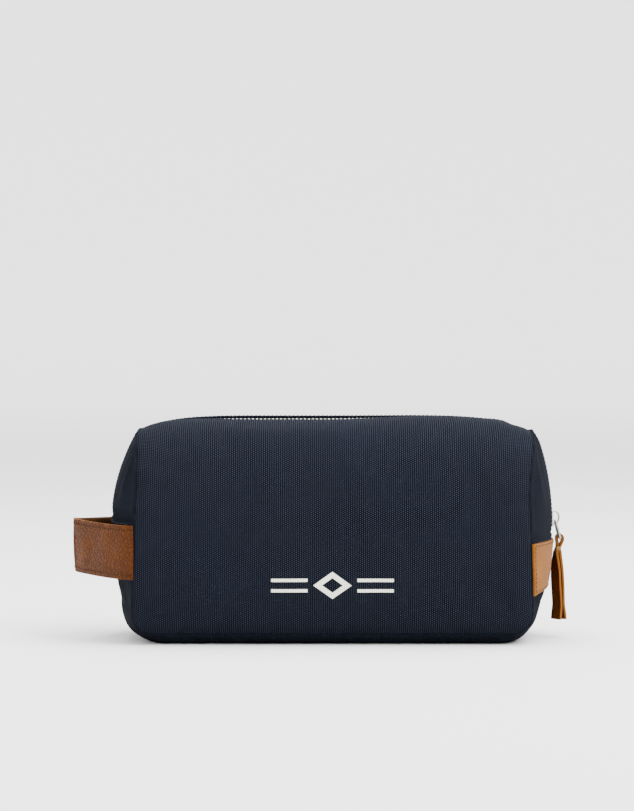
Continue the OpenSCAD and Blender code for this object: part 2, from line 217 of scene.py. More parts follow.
def signed_power(x, power):
    """A power that keeps the sign of x; under 1 it squares off a circle."""
    return np.sign(x) * np.abs(x) ** power


def stitch_row(P, N, at, rise=0.0):
    """A line for stitch_mesh: the points at of a face, raised by rise, and their normals."""
    return P[at] + N[at] * rise, N[at]


def mesh_object(name, verts, faces, materials, uv=None, index=None, flat=None):
    """Mesh from points in millimetres. uv is per point; flat marks faces with hard edges."""
    me = bpy.data.meshes.new(name)
    me.from_pydata((np.asarray(verts) * 0.001).tolist(), [], faces)
    if uv is not None:
        layer = me.uv_layers.new(name="cloth")
        loop = np.zeros(len(me.loops), int)
        me.loops.foreach_get("vertex_index", loop)
        layer.uv.foreach_set("vector", np.asarray(uv, np.float32)[loop].ravel())
    ob = bpy.data.objects.new(name, me)
    bpy.context.scene.collection.objects.link(ob)
    for m in materials:
        me.materials.append(m)
    flat = np.zeros(len(me.polygons)) if flat is None else flat
    me.polygons.foreach_set("use_smooth", ~np.asarray(flat, bool))
    if index is not None:
        me.polygons.foreach_set("material_index", np.asarray(index, np.int32))
    me.validate()
    me.update()
    return ob


def cloth_uv(P, mid=None):
    """Places on the cloth in millimetres: across from column mid, and along it."""
    n, m = P.shape[:2]
    mid = m // 2 if mid is None else mid
    step = np.linalg.norm(np.diff(P, axis=1), axis=2)
    u = np.concatenate([np.zeros((n, 1)), np.cumsum(step, 1)], 1)
    u = u - u[:, mid:mid + 1]
    v = run_length(P[:, mid])
    return np.stack([u, np.broadcast_to(v[:, None], (n, m))], 2)


def cloth(name, P, thick, materials, uv=None, rim=0, inside=None):
    """Closed piece of cloth: P is its outer face, thick its thickness inwards, or inside its
    inner face. Its cut edges take material number rim."""
    n, m = P.shape[:2]
    if uv is None:
        uv = cloth_uv(P)
    inner = P - normals(P) * thick if inside is None else inside
    verts = np.concatenate([P.reshape(-1, 3), inner.reshape(-1, 3)])
    uvs = np.concatenate([uv.reshape(-1, 2)] * 2)
    i = np.arange(n * m).reshape(n, m)
    a, b, c, d = i[:-1, :-1], i[:-1, 1:], i[1:, 1:], i[1:, :-1]
    out = np.stack([a, b, c, d], -1).reshape(-1, 4)
    back = out[:, ::-1] + n * m
    e = np.concatenate([i[0, :], i[1:, -1], i[-1, -2::-1], i[-2:0:-1, 0]])
    f = np.roll(e, -1)
    side = np.stack([f, e, e + n * m, f + n * m], -1)
    faces = np.concatenate([out, back, side])
    edge = np.arange(len(faces)) >= len(out) + len(back)
    return mesh_object(name, verts, faces.tolist(), materials, uvs, edge * rim, edge)


def fold_under(P, r, back, steps=7):
    """Adds rows past the last one, where the cloth turns under on radius r and runs back."""
    N = normals(P)[-1]
    T = unit(P[-1] - P[-2])
    rows = [P[-1] + T * r * math.sin(a) - N * r * (1 - math.cos(a))
            for a in np.linspace(0, math.pi, steps)[1:]]
    rows += [rows[-1] - T * back * k / 3 for k in (1, 2, 3)]
    return np.concatenate([P, np.stack(rows)])


def tube(base, rings, ring):
    """Faces of a closed tube: rings of ring points each, from point base on."""
    at = base + np.arange(rings * ring).reshape(rings, ring)
    on = np.roll(at, -1, 1)
    sides = np.stack([at[:-1], on[:-1], on[1:], at[1:]], -1).reshape(-1, 4)
    return sides.tolist() + [at[0, ::-1].tolist(), at[-1].tolist()]


def soften(ob, width, segments=2, angle=50):
    """Rounds the hard edges, by a width in metres."""
    mod = ob.modifiers.new("soft_edges", "BEVEL")
    mod.width, mod.segments = width, segments
    mod.limit_method, mod.angle_limit = "ANGLE", math.radians(angle)


def stitch_mesh(name, lines, material, length=2.0, pitch=2.6, r=0.26):
    """Rows of thread stitches. Each line is (points, normals), in millimetres."""
    ring, rings = 6, 5
    verts, faces = [], []
    for points, ups in lines:
        points, ups = np.asarray(points, float), np.asarray(ups, float)
        both = np.concatenate([points, ups], 1)
        d = run_length(points)
        count = max(1, int(d[-1] / pitch))
        for k in range(count):
            s = (k + 0.5) * d[-1] / count
            seat = sample(s, d, both)
            t = unit(sample(min(s + 0.5, d[-1]), d, points) - sample(max(s - 0.5, 0), d, points))
            up = unit(seat[3:] - t * (seat[3:] @ t))
            side = np.cross(t, up)
            base = len(verts)
            for q in range(rings):
                a = math.pi * (q + 0.5) / rings
                w = math.sin(a) ** 0.5
                bow = r * 0.65 - 0.55 * r * math.cos(a) ** 2
                c = seat[:3] - t * math.cos(a) * length / 2 + up * bow
                for h in range(ring):
                    b = 2 * math.pi * h / ring
                    verts.append(c + (side * math.cos(b) + up * math.sin(b) * 0.8) * r * w)
            faces += tube(base, rings, ring)
    return mesh_object(name, verts, faces, [material])


# ---- materials ----

class Paint:
    """A node material, with short calls for the nodes it is made of."""

    def __init__(self, name, rough=0.7, metal=0.0, sheen=0.0, spec=0.5):
        self.mat = bpy.data.materials.new(name)
        self.mat.use_nodes = True
        self.tree = self.mat.node_tree
        self.shader = self.tree.nodes["Principled BSDF"]
        looks = {"Roughness": rough, "Metallic": metal, "Sheen Weight": sheen,
                 "Sheen Roughness": 0.45, "Specular IOR Level": spec}
        for key, value in looks.items():
            self.shader.inputs[key].default_value = value

    def put(self, socket, value):
        if isinstance(value, bpy.types.NodeSocket):
            self.tree.links.new(value, socket)
        else:
            socket.default_value = value

    def node(self, kind, **inputs):
        """A new node, with its inputs by name, where _ stands for a space."""
        n = self.tree.nodes.new("ShaderNode" + kind)
        for key, value in inputs.items():
            self.put(n.inputs[key.replace("_", " ")], value)
        return n

    def math(self, op, a, b=0.0, c=0.0):
        n = self.node("Math")
        n.operation = op
        self.put(n.inputs[0], a)
        self.put(n.inputs[1], b)
        self.put(n.inputs[2], c)
        return n.outputs[0]

    def mul(self, a, b):
        return self.math("MULTIPLY", a, b)

    def add(self, a, b):
        return self.math("ADD", a, b)

    def mad(self, a, b, c):
        return self.math("MULTIPLY_ADD", a, b, c)

    def away(self, a, b):
        """Distance between a and b."""
        return self.math("ABSOLUTE", self.math("SUBTRACT", a, b))

    def fall(self, value, low, high):
        """1 under low, 0 over high."""
        return self.math("SUBTRACT", 1.0, self.step(value, low, high))

    def blend(self, a, b, t):
        n = self.node("Mix")
        n.data_type = "RGBA"
        self.put(n.inputs[0], t)
        for k, v in ((6, a), (7, b)):
            self.put(n.inputs[k], v if isinstance(v, bpy.types.NodeSocket) else (*v, 1.0))
        return n.outputs[2]

    def uv(self):
        """Place on the cloth in millimetres, as a vector, u and v."""
        n = self.node("UVMap")
        n.uv_map = "cloth"
        s = self.node("SeparateXYZ", Vector=n.outputs[0])
        return n.outputs[0], s.outputs[0], s.outputs[1]

    def place(self):
        """The piece's own coordinates, in millimetres."""
        return self.scaled(self.node("TexCoord").outputs["Object"], (1000.0, 1000.0, 1000.0))

    def scaled(self, vector, scale):
        return self.node("Mapping", Scale=scale, Vector=vector).outputs[0]

    def noise(self, vector, scale, detail=2.0, rough=0.5):
        return self.node("TexNoise", Scale=scale, Detail=detail, Roughness=rough, Vector=vector).outputs[0]

    def cells(self, vector, scale):
        n = self.node("TexVoronoi", Scale=scale, Vector=vector)
        n.feature = "DISTANCE_TO_EDGE"
        return n.outputs["Distance"]

    def step(self, value, low, high):
        """0 under low, 1 over high."""
        n = self.node("MapRange", Value=value, From_Min=low, From_Max=high)
        n.interpolation_type = "SMOOTHSTEP"
        return n.outputs[0]

    def range(self, value, low, high):
        """A value from 0 to 1, spread from low to high."""
        return self.node("MapRange", Value=value, To_Min=low, To_Max=high).outputs[0]

    def done(self, colour, height=None, depth=0.1, rough=None):
        """Sets colour, bump of depth millimetres and roughness."""
        put = self.shader.inputs
        self.put(put["Base Color"], colour)
        if height is not None:
            n = self.node("Bump", Strength=1.0, Distance=depth * 0.001, Height=height)
            self.put(put["Normal"], n.outputs[0])
        if rough is not None:
            self.put(put["Roughness"], rough)
        return self.mat


def canvas(name, ground, dot, light, warp=1.3, pick=0.62, mark=None, turn=False):
    """Coarse plain weave. The dots are warp ends that come up over every other pick."""
    p = Paint(name, rough=0.9, spec=0.022)
    vec, u, v = p.uv()
    if turn:
        u, v = v, u
    sway = p.noise(p.scaled(vec, (0.02, 0.02, 1)), 1.0, 2.0)
    u2 = p.add(u, p.mul(sway, 1.2))
    col = p.math("DIVIDE", u2, warp)
    inside = p.math("FRACT", col)
    odd = p.mul(p.math("FLOOR", col), 0.5)
    ridge = p.math("SINE", p.mul(inside, math.pi))
    up = p.math("SINE", p.mul(p.add(p.math("DIVIDE", v, 2 * pick), odd), 2 * math.pi))
    up = p.mad(up, 0.5, 0.5)
    height = p.mul(ridge, p.mad(up, 0.62, 0.38))
    order = -1 if turn else 1
    slub = p.noise(p.scaled(vec, (*(0.9 / warp, 0.06)[::order], 1)), 1.0, 3.0)
    cross = p.noise(p.scaled(vec, (*(0.05, 0.8)[::order], 1)), 1.0, 2.0)
    cloudy = p.noise(p.scaled(vec, (0.012, 0.012, 1)), 1.0, 3.0)
    top = p.mul(p.step(height, 0.42, 0.95), p.range(slub, 0.6, 1.15))
    colour = p.blend(ground, dot, top)
    colour = p.blend(colour, light, p.mul(p.step(cloudy, 0.42, 0.8), 0.35))
    fleck = p.mul(p.step(cross, 0.55, 0.8), p.step(height, 0.3, 0.8))
    colour = p.blend(colour, light, p.mul(fleck, 0.3))
    if mark is not None:
        colour = mark(p, u, v, height, colour)
    worn = p.mad(p.noise(vec, 1.4, 2.0), 0.25, height)
    return p.done(colour, worn, 0.22, p.range(cloudy, 0.8, 0.93))


def plain_mark(p, u, v, height, colour):
    """Plain printed mark, in millimetres of cloth: a lozenge between two pairs of short rules."""
    mark_v, half_w, half_h = 31.5, 12.0, 8.5
    rule_in, rule_out, rule_off, rule_half = 15.0, 37.0, 3.2, 0.8
    du = p.math("ABSOLUTE", u)
    dv = p.away(v, mark_v)
    lozenge = p.add(p.math("DIVIDE", du, half_w), p.math("DIVIDE", dv, half_h))
    shape = p.mul(p.fall(lozenge, 0.94, 1.0), p.step(lozenge, 0.5, 0.56))
    rule_v = p.fall(p.away(dv, rule_off), rule_half, rule_half + 0.3)
    rule_u = p.mul(p.step(du, rule_in, rule_in + 0.5), p.fall(du, rule_out, rule_out + 0.6))
    shape = p.math("MAXIMUM", shape, p.mul(rule_v, rule_u))
    ink = p.mul(shape, p.mad(p.step(height, 0.02, 0.35), 0.42, 0.55))
    return p.blend(colour, (0.78, 0.78, 0.66), ink)


def leather(name, base, dark, light, grain, rough, depth):
    """Tanned hide: pebbles of about grain millimetres, creases and cloudy colour."""
    p = Paint(name, rough=rough, spec=0.06)
    at = p.place()
    warp = p.noise(at, 0.35, 2.0)
    edges = p.cells(at, 1 / grain)
    pebble = p.step(edges, 0.0, 0.28)
    fine = p.noise(at, 3.2 / grain, 3.0, 0.6)
    crease = p.step(p.noise(p.scaled(at, (0.5, 0.5, 1.2)), 0.45, 4.0, 0.65), 0.44, 0.62)
    cloud = p.noise(at, 0.06, 4.0, 0.6)
    colour = p.blend(dark, base, p.mad(pebble, 0.5, p.mad(fine, 0.35, 0.2)))
    colour = p.blend(colour, light, p.mul(p.step(cloud, 0.45, 0.75), 0.55))
    colour = p.blend(colour, dark, p.mul(p.step(p.noise(at, 0.17, 3.0), 0.58, 0.78), 0.45))
    height = p.mad(fine, 0.35, p.mad(crease, 0.35, p.mul(pebble, 0.6)))
    shine = p.range(p.mad(warp, 0.4, p.mul(fine, 0.6)), rough - 0.1, rough + 0.15)
    return p.done(colour, height, depth, shine)


def raw_edge(name, base, dark):
    """Cut edge of leather, with fibres along it."""
    p = Paint(name, rough=0.8, spec=0.1)
    at = p.place()
    fibre = p.noise(p.scaled(at, (0.7, 0.7, 4.0)), 1.0, 4.0, 0.7)
    spot = p.noise(at, 0.3, 3.0)
    colour = p.blend(dark, base, p.range(fibre, 0.1, 1.0))
    colour = p.blend(colour, dark, p.mul(p.step(spot, 0.5, 0.75), 0.4))
    return p.done(colour, fibre, 0.2)


def tape_cloth(name, ground, light):
    """Zip tape: a fine herringbone."""
    p = Paint(name, rough=0.82, sheen=0.1, spec=0.3)
    vec, u, v = p.uv()
    saw = p.away(p.math("FRACT", p.math("DIVIDE", u, 2.4)), 0.5)
    lines = p.math("SINE", p.mul(p.add(p.math("DIVIDE", v, 0.7), p.mul(saw, 3.4)), 2 * math.pi))
    lines = p.mad(lines, 0.5, 0.5)
    fuzz = p.noise(vec, 1.1, 3.0)
    colour = p.blend(ground, light, p.mul(lines, p.range(fuzz, 0.2, 0.9)))
    return p.done(colour, p.mad(fuzz, 0.4, lines), 0.1)


def lining_cloth(name, ground, light):
    """Fine plain weave, a little crushed."""
    p = Paint(name, rough=0.7, sheen=0.15, spec=0.35)
    vec, u, v = p.uv()
    a = p.math("SINE", p.mul(u, 2 * math.pi / 0.45))
    b = p.math("SINE", p.mul(v, 2 * math.pi / 0.45))
    grid = p.mad(p.mul(a, b), 0.5, 0.5)
    crush = p.noise(p.scaled(vec, (0.05, 0.05, 1)), 1.0, 4.0, 0.6)
    colour = p.blend(ground, light, p.mul(grid, 0.6))
    colour = p.blend(colour, ground, p.mul(p.step(crush, 0.4, 0.7), 0.5))
    return p.done(colour, p.mad(crush, 4.0, grid), 0.08)


def metal(name, base, dark, rough=0.3):
    """Plated die-cast metal, brushed by use."""
    p = Paint(name, rough=rough, metal=1.0)
    at = p.place()
    cloud = p.noise(at, 0.5, 3.0, 0.6)
    brush = p.noise(p.scaled(at, (0.8, 6.0, 1.4)), 1.0, 3.0, 0.6)
    pit = p.step(p.noise(at, 2.5, 2.0), 0.62, 0.8)
    colour = p.blend(base, dark, p.mul(p.step(cloud, 0.4, 0.75), 0.5))
    colour = p.blend(colour, dark, p.mul(pit, 0.6))
    return p.done(colour, p.mad(brush, 0.5, cloud), 0.05, p.range(brush, rough - 0.08, rough + 0.2))


def thread(name, base, dark):
    """Waxed thread, twisted."""
    p = Paint(name, rough=0.6, spec=0.08)
    at = p.place()
    n = p.node("SeparateXYZ", Vector=at)
    lean = p.add(n.outputs[0], p.add(n.outputs[1], n.outputs[2]))
    twist = p.mad(p.math("SINE", p.mul(lean, 2 * math.pi / 0.5)), 0.5, 0.5)
    fuzz = p.noise(at, 1.6, 2.0)
    colour = p.blend(dark, base, p.mad(twist, 0.6, p.mul(fuzz, 0.5)))
    return p.done(colour, twist, 0.08)


def board(name):
    """Grey fibreboard."""
    p = Paint(name, rough=0.9)
    at = p.place()
    fibre = p.noise(p.scaled(at, (0.3, 1.5, 1.0)), 1.0, 5.0, 0.7)
    colour = p.blend((0.09, 0.08, 0.07), (0.2, 0.18, 0.15), fibre)
    return p.done(colour, fibre, 0.1)


NAVY, NAVY_DOT, NAVY_UP = (0.0012, 0.0013, 0.0021), (0.0250, 0.0312, 0.0485), (0.0056, 0.0075, 0.0130)
front_canvas = canvas("canvas_front", NAVY, NAVY_DOT, NAVY_UP, mark=plain_mark)
body_canvas = canvas("canvas_body", NAVY, NAVY_DOT, NAVY_UP)
end_canvas = canvas("canvas_ends", NAVY, (0.0150, 0.0190, 0.0325), (0.0060, 0.0080, 0.0140),
                    warp=0.9, pick=0.5, turn=True)
hide_tan = leather("leather_grained", (0.074, 0.0190, 0.0006), (0.022, 0.0048, 0.0002),
                   (0.108, 0.031, 0.0012), grain=2.6, rough=0.42, depth=0.9)
hide_smooth = leather("leather_smooth", (0.152, 0.052, 0.0022), (0.112, 0.035, 0.0014),
                      (0.185, 0.068, 0.0040), grain=0.7, rough=0.5, depth=0.1)
hide_brown = leather("leather_puller", (0.062, 0.0160, 0.0013), (0.022, 0.0050, 0.0005),
                     (0.090, 0.0250, 0.0025), grain=0.8, rough=0.44, depth=0.18)
edge_tan = raw_edge("leather_edge", (0.170, 0.058, 0.0060), (0.075, 0.021, 0.002))
back_tan = raw_edge("leather_backing", (0.085, 0.034, 0.0105), (0.028, 0.011, 0.004))
tape_black = tape_cloth("zip_tape_black", (0.006, 0.006, 0.008), (0.035, 0.035, 0.04))
inner_cloth = lining_cloth("lining_cloth", (0.055, 0.052, 0.05), (0.13, 0.125, 0.12))
silver = metal("zip_metal", (0.42, 0.415, 0.395), (0.16, 0.155, 0.145), 0.27)
silver_teeth = metal("zip_teeth_metal", (0.55, 0.54, 0.52), (0.22, 0.215, 0.2), 0.24)
thread_dark = thread("thread_dark", (0.026, 0.010, 0.0035), (0.010, 0.004, 0.0015))
thread_pale = thread("thread_pale", (0.30, 0.165, 0.060), (0.15, 0.075, 0.025))
thread_navy = thread("thread_navy", (0.034, 0.043, 0.068), (0.011, 0.014, 0.024))
board_black = board("base_board_fibre")


def on_wall(ob):
    """Bakes the piece's place into its own points."""
    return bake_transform(ob)


def turned(P):
    """A front piece turned into the rear one."""
    Q = P[:, ::-1].copy()
    Q[..., 1] *= -1
    return Q


# ---- canvas walls ----

COLS = 129
rows = [(CORNER_Z - CORNER_R * math.cos(a), CORNER_X + CORNER_R * math.sin(a), a)
        for a in np.linspace(0, math.pi / 2, 13)]
rows += [(z, seam_x(z), None) for z in np.linspace(CORNER_Z, BELLY_Z, 17)[1:]]
rows += [(z, seam_x(z), None) for z in arch_z((np.linspace(0, 1, 63)[1:] ** 1.25) * ARCH_END)]
row_z = np.array([r[0] for r in rows])
row_w = np.array([r[1] for r in rows])


def to_outline(x, z):
    """Distance in the panel's plane from its sewn outline."""
    ax = np.abs(x)
    d = np.minimum(z - SEAM_H, seam_x(z) - ax)
    corner = (z < CORNER_Z) & (ax > CORNER_X)
    return np.where(corner, CORNER_R - np.hypot(ax - CORNER_X, z - CORNER_Z), d)


def make_wall(side, seed):
    """Outer face of a wall, a grid of points; the rear one is made facing the front."""
    c = np.linspace(-1, 1, COLS)
    Z, C = np.meshgrid(row_z, c, indexing="ij")
    W = np.broadcast_to(row_w[:, None], Z.shape)
    X = C * W + np.sign(C) * seam_out(Z, C) * smooth((np.abs(C) - 0.55) / 0.45)
    top = np.where(Z <= BELLY_Z, Z, BELLY_Z + (crown(C) - BELLY_Z) * (Z - BELLY_Z) / (END_H - BELLY_Z))
    P = np.stack([X, -half_depth(Z), top], 2)
    N = normals(P)
    d = np.maximum(to_outline(C * W, Z), 0)
    high = smooth((Z - 96) / 32)
    edge = 2.9 * (1 - 0.75 * high) * (1 - np.clip(d / 9.5, 0, 1)) ** 2.2
    s = 150 * np.arctan2(Z - 60, X)
    pucker = 0.42 * waves(s, 9.5, seed) * np.exp(-d / 7) * (1 - 0.6 * high)
    pucker += 0.5 * waves(s, 24, seed + 1) * np.exp(-d / 16) * (1 - 0.6 * high)
    leathered = smooth((Z - 28) / 5) * (1 - smooth((Z - 74) / 5))
    pucker *= 1 - leathered * np.where(C < 0, 0.9, 0.5)
    pucker *= 1 - 0.6 * (1 - smooth((Z - 4) / 16))
    inner = smooth(d / 30) * (1 - smooth((Z - 118) / 12))
    broad = 1.1 * waves2(X, Z, 85, seed + 2) * inner
    broad += 0.45 * waves2(X, Z, 34, seed + 3, lean=0.25) * inner
    near_corner = np.exp(-np.hypot(np.abs(X) - CORNER_X, Z - CORNER_Z) / 26)
    broad += 0.9 * near_corner * np.sin(np.arctan2(Z - CORNER_Z, np.abs(X) - CORNER_X) * 5) * smooth(d / 12)
    slump = -1.3 * np.exp(-((Z - 104) / 17) ** 2) * smooth(d / 40) * (0.6 + 0.4 * waves(X, 120, seed + 4))
    P = P + N * (broad + slump + pucker - edge)[..., None]
    # the folds lean a little towards the front over the middle of the crown
    P[..., 2] -= (2.2 if side < 0 else 0.2) * crown_dip(Z, C)
    kink = smooth((Z - 108) / 18) * (C > 0)
    P[..., 2] -= kink * (1.1 * smooth((C - 0.87) / 0.05) - 0.4 * np.exp(-((C - 0.84) / 0.04) ** 2))
    return P


walls = {side: make_wall(side, 11 if side < 0 else 47) for side in (-1, 1)}
outline = {}
for side, face in FACES:
    P = walls[side]
    outline[side] = {1: P[:, -1], -1: P[:, 0], 0: P[0]}  # right seam, left seam, bottom seam
    full = fold_under(P, 0.8, 3.5)
    uv = cloth_uv(full)
    if side > 0:
        full, uv = turned(full), uv[:, ::-1].copy()
        uv[..., 0] *= -1
    ob = cloth(face + "_canvas", full, CANVAS_T, [front_canvas if side < 0 else body_canvas], uv=uv)
    on_wall(ob)
    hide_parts(face + "_panel")
    # lining, hung a little inside
    Q = P - normals(P) * LINING_IN
    Q = Q[2:-3, 1:-1]
    Q = Q + normals(Q) * (0.35 * waves2(Q[..., 0], Q[..., 2], 22, 5 + side))[..., None]
    Q = turned(Q) if side > 0 else Q
    ob = cloth(face + "_inner_cloth", Q, LINING_T, [inner_cloth])
    on_wall(ob)
    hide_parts(face + "_lining")


# ---- gusset: left end, base and right end in one strip ----

def end_share(v, flat):
    """How far a point at share v of the strip's half width lies from its seam to its middle."""
    return 1 - (np.maximum(0, (np.abs(v) - flat) / (1 - flat))) ** 2


def side_mid_z(z):
    """Height of the strip's middle beside seam height z."""
    return z + (HEEL_Z - CORNER_Z) * max(0.0, 1 - (z - CORNER_Z) / (BELLY_Z - CORNER_Z))


def heel(k):
    """Middle of the strip and its flat share, on the turn from the base (k 0) to an end (k 1)."""
    a = k * math.pi / 2
    return BASE_END + HEEL_X * math.sin(a), HEEL_Z * (1 - math.cos(a)), FLAT * (1 - k)


def strip_rows(sign, z_stop):
    """(front seam point, rear seam point, middle x, middle z, flat share), from the corner up."""
    found = []
    front, rear = outline[-1][sign], outline[1][sign]
    for i, (z, _, a) in enumerate(rows):
        if a is not None:
            mx, mz, flat = heel(0.25 + 0.75 * a / (math.pi / 2))
        elif z < z_stop:
            mz = side_mid_z(z)
            mx, flat = float(end_mid(mz, sign)), 0.0
        else:
            break
        found.append((front[i], rear[i], sign * mx, mz, flat))
    last = [sample(z_stop, row_z, seam) for seam in (front, rear)]
    found.append((*last, sign * float(mid_x(z_stop)), z_stop, 0.0))
    return found


base_rows = []
for j in range(1, COLS - 1):
    x = CORNER_X * (-1 + 2 * j / (COLS - 1))
    f, r = outline[-1][0][j], outline[1][0][j]
    if abs(x) <= BASE_END:
        base_rows.append((f, r, x, 0.0, FLAT))
    else:
        mx, mz, flat = heel(0.25 * (abs(x) - BASE_END) / HEEL_LEAD)
        base_rows.append((f, r, math.copysign(mx, x), mz, flat))
strip = strip_rows(-1, ZIP_LOW[-1])[::-1] + base_rows + strip_rows(1, ZIP_LOW[1])
V = np.sin(np.linspace(-1, 1, 61) * math.pi / 2) * 0.35 + np.linspace(-1, 1, 61) * 0.65


def strip_point(row, v):
    f, r, mx, mz, flat = row
    s = f if v < 0 else r
    t = end_share(v, flat)
    return np.array([mix(s[0], mx, t), abs(v) * abs(s[1]) * (-1 if v < 0 else 1), mix(s[2], mz, t)])


G = np.array([[strip_point(row, v) for v in V] for row in strip])
NG = normals(G)
length = run_length(G[:, len(V) // 2])
S = np.broadcast_to(length[:, None], G.shape[:2])
away = (1 - np.abs(V))[None, :] * STRIP_HALF  # distance from the nearer seam
on_base = np.exp(-(np.maximum(G[..., 2], 0) / 5) ** 2)
lift = (0.5 * waves(S + 9 * np.sign(V)[None, :], 9.5, 3) * np.exp(-away / 8) * (1 - np.exp(-away / 2))
        + 0.9 * waves2(S, V[None, :] * STRIP_HALF, 60, 4) * smooth(away / 20)
        + 0.35 * waves2(S, V[None, :] * STRIP_HALF, 21, 8, lean=0.2) * smooth(away / 14)) * (1 - on_base)
welt = 0.9 * np.exp(-((away - 2.2) / 1.6) ** 2)
hem = np.minimum(S, length[-1] - S)
chain_zone = np.exp(-(np.abs(V)[None, :] * STRIP_HALF / 12) ** 4) * np.exp(-(hem / 40) ** 2)
lift = lift * (1 - chain_zone) + 0.35 * smooth(1 - hem / 5) * smooth(away / 6)
NG = NG * np.sign((NG * (G - MIDDLE)).sum(2).mean())
G = G + NG * (lift + welt * 0.6)[..., None]
G[..., 0] -= 1.7 * np.exp(-((G[..., 2] - 17) / 10) ** 2) * smooth(away / 9) * smooth((G[..., 0] - 95) / 20)
G = G if np.sign((normals(G) * NG).sum(2).mean()) > 0 else G[:, ::-1]
ob = cloth("gusset_canvas", G, GUSSET_T, [end_canvas])
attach(ob, "bag")
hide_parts("base_panel", "left_end_panel", "right_end_panel")
L = G[2:-2, 2:-2] - normals(G)[2:-2, 2:-2] * 2.4
L[..., 2] = np.maximum(L[..., 2], 2.9)
ob = cloth("gusset_inner_cloth", L, LINING_T, [inner_cloth])
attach(ob, "bag")
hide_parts("base_lining", "left_end_lining", "right_end_lining")

# topstitching where the gusset is sewn to the zip panels
GN = normals(G)
hems = [stitch_row(G, GN, (i, slice(6, -6)), 0.05) for i in (2, -3)]
ob = stitch_mesh("gusset_hem_stitches", hems, thread_navy, 1.9, 2.6, 0.22)
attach(ob, "bag")


# ---- zip panels: the gusset above each end of the zip ----

def make_flap(side, sign):
    """Outer face of the cloth beside one end of the zip."""
    z_low = ZIP_LOW[sign] - 3.5
    top = row_z[(row_z > z_low + 1) & (half_depth(row_z) > ZIP_EDGE + 1.2)]
    zs = np.concatenate([[z_low], top])
    s = sample(zs, row_z, outline[side][sign])
    t = np.linspace(1, 0, 26)
    ys = np.abs(s[:, 1])
    Y = ZIP_EDGE + (ys - ZIP_EDGE)[None, :] * t[:, None]
    q = (Y / ys[None, :]) ** 2
    P = np.stack([sign * mix(end_mid(zs, sign)[None, :], np.abs(s[:, 0])[None, :], q),
                  np.sign(side) * Y, mix(zs[None, :], s[None, :, 2], q)], 2)
    e = (1 - t[:, None]) * np.maximum(ys[None, :] - ZIP_EDGE, 0)  # distance from the side seam
    if (normals(P)[..., 0] * sign).mean() < 0:
        P = P[:, ::-1]
    if side > 0 or sign > 0:
        e = e[:, ::-1]  # on the right rear panel this sets the folds unlike those of the others
    N = normals(P)
    Zp = P[..., 2]
    broad = 0.6 * waves2(Zp, P[..., 1], 40, 31 + sign + side)
    lift = (0.45 * waves(Zp * 1.1 + side, 9.5, 21 + sign) * np.exp(-e / 8) * (1 - np.exp(-e / 2))
            + broad * smooth(e / 14) * smooth((np.abs(P[..., 1]) - 6) / 10)
            + 0.54 * np.exp(-((e - 2.2) / 1.6) ** 2))
    # a slack fold that runs down from the corner of the bag
    run = END_H - 4 - Zp
    near_top = smooth(run / 8) * (1 - smooth((run - 24) / 22))
    fold_at = 3.5 + 0.34 * run
    lift = lift + (1.3 if sign < 0 else 0.6) * near_top * (
        np.exp(-((e - fold_at) / 3.0) ** 2) - 0.6 * np.exp(-((e - fold_at - 6.5) / 3.6) ** 2))
    low = smooth((Zp - ZIP_LOW[sign] - 1) / 5)
    P = P + N * (lift * low - 0.45 * (1 - low))[..., None]
    return P


flaps = {}
for side, face in FACES:
    for sign, end in ENDS:
        P = make_flap(side, sign)
        flaps[side, sign] = P
        ob = cloth(f"{end}_{face}_zip_panel", fold_under(P, 0.8, 3.0), CANVAS_T, [end_canvas])
        on_wall(ob)
        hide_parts(f"{end}_{face}_flap")
        short = P[..., 2].mean(0) < END_H - 13
        Q = (P - normals(P) * LINING_IN)[1:-5, short][:, 2:-2]
        ob = cloth(f"{end}_{face}_zip_panel_inner", Q, LINING_T, [inner_cloth])
        on_wall(ob)
        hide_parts(f"{end}_{face}_flap_lining")

# topstitching beside the zip, along the crown and down both ends
for side, face in FACES:
    P = turned(walls[side]) if side > 0 else walls[side]
    N = normals(P)
    near = np.argmin(np.abs(np.abs(P[:, COLS // 2, 1]) - (ZIP_EDGE + 2.6)))
    keep = np.abs(P[near, :, 0]) < TOP_X - 9
    lines = [stitch_row(P[near], N[near], keep, 0.02)]
    for sign in (-1, 1):
        F = flaps[side, sign]
        k = np.argmin(np.abs(np.abs(F[:, F.shape[1] // 2, 1]) - (ZIP_EDGE + 2.8)))
        keep = np.abs(F[k, :, 1]) > ZIP_EDGE + 1.2
        lines.append(stitch_row(F[k], normals(F)[k], keep))
    ob = stitch_mesh(face + "_zip_stitches", lines, thread_navy, 1.9, 2.6, 0.2)
    on_wall(ob)


# ---- zip: tapes, teeth and end stops ----

